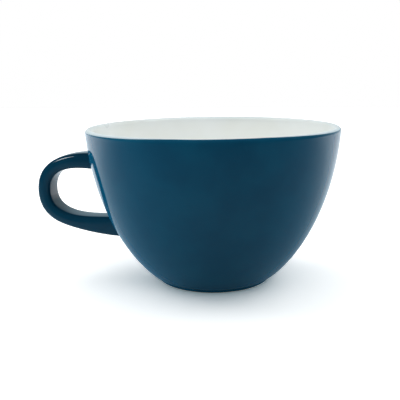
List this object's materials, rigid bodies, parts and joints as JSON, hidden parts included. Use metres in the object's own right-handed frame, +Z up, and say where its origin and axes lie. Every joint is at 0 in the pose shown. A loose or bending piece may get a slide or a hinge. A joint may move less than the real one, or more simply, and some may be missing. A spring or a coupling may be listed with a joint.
{
  "type": "latte cup",
  "caption": "Wide round-bottomed latte cup on a low foot ring with a squared loop handle, glazed blue outside and white inside, for holding a hot milky drink",
  "frame": {"origin": "On the floor plane under the foot ring, at the middle of the whole cup with its handle, so the cup's own axis stands at x = +12.7 mm", "axes": "+Z is up out of the mouth, the handle points along -X, and +Y is across, so the XZ plane is the cup's plane of symmetry"},
  "size_m": [0.1354, 0.11, 0.0679],
  "materials": {
    "clay": "bare fired stoneware, matt",
    "blue_glaze": "glossy petrol-blue glaze",
    "white_glaze": "glossy white glaze"
  },
  "bodies": {
    "root": {"bowl_body": "clay", "handle_loop": "clay", "outer_glaze": "blue_glaze", "handle_glaze": "blue_glaze", "inner_glaze": "white_glaze", "base_glaze": "white_glaze"}
  },
  "joints": []
}
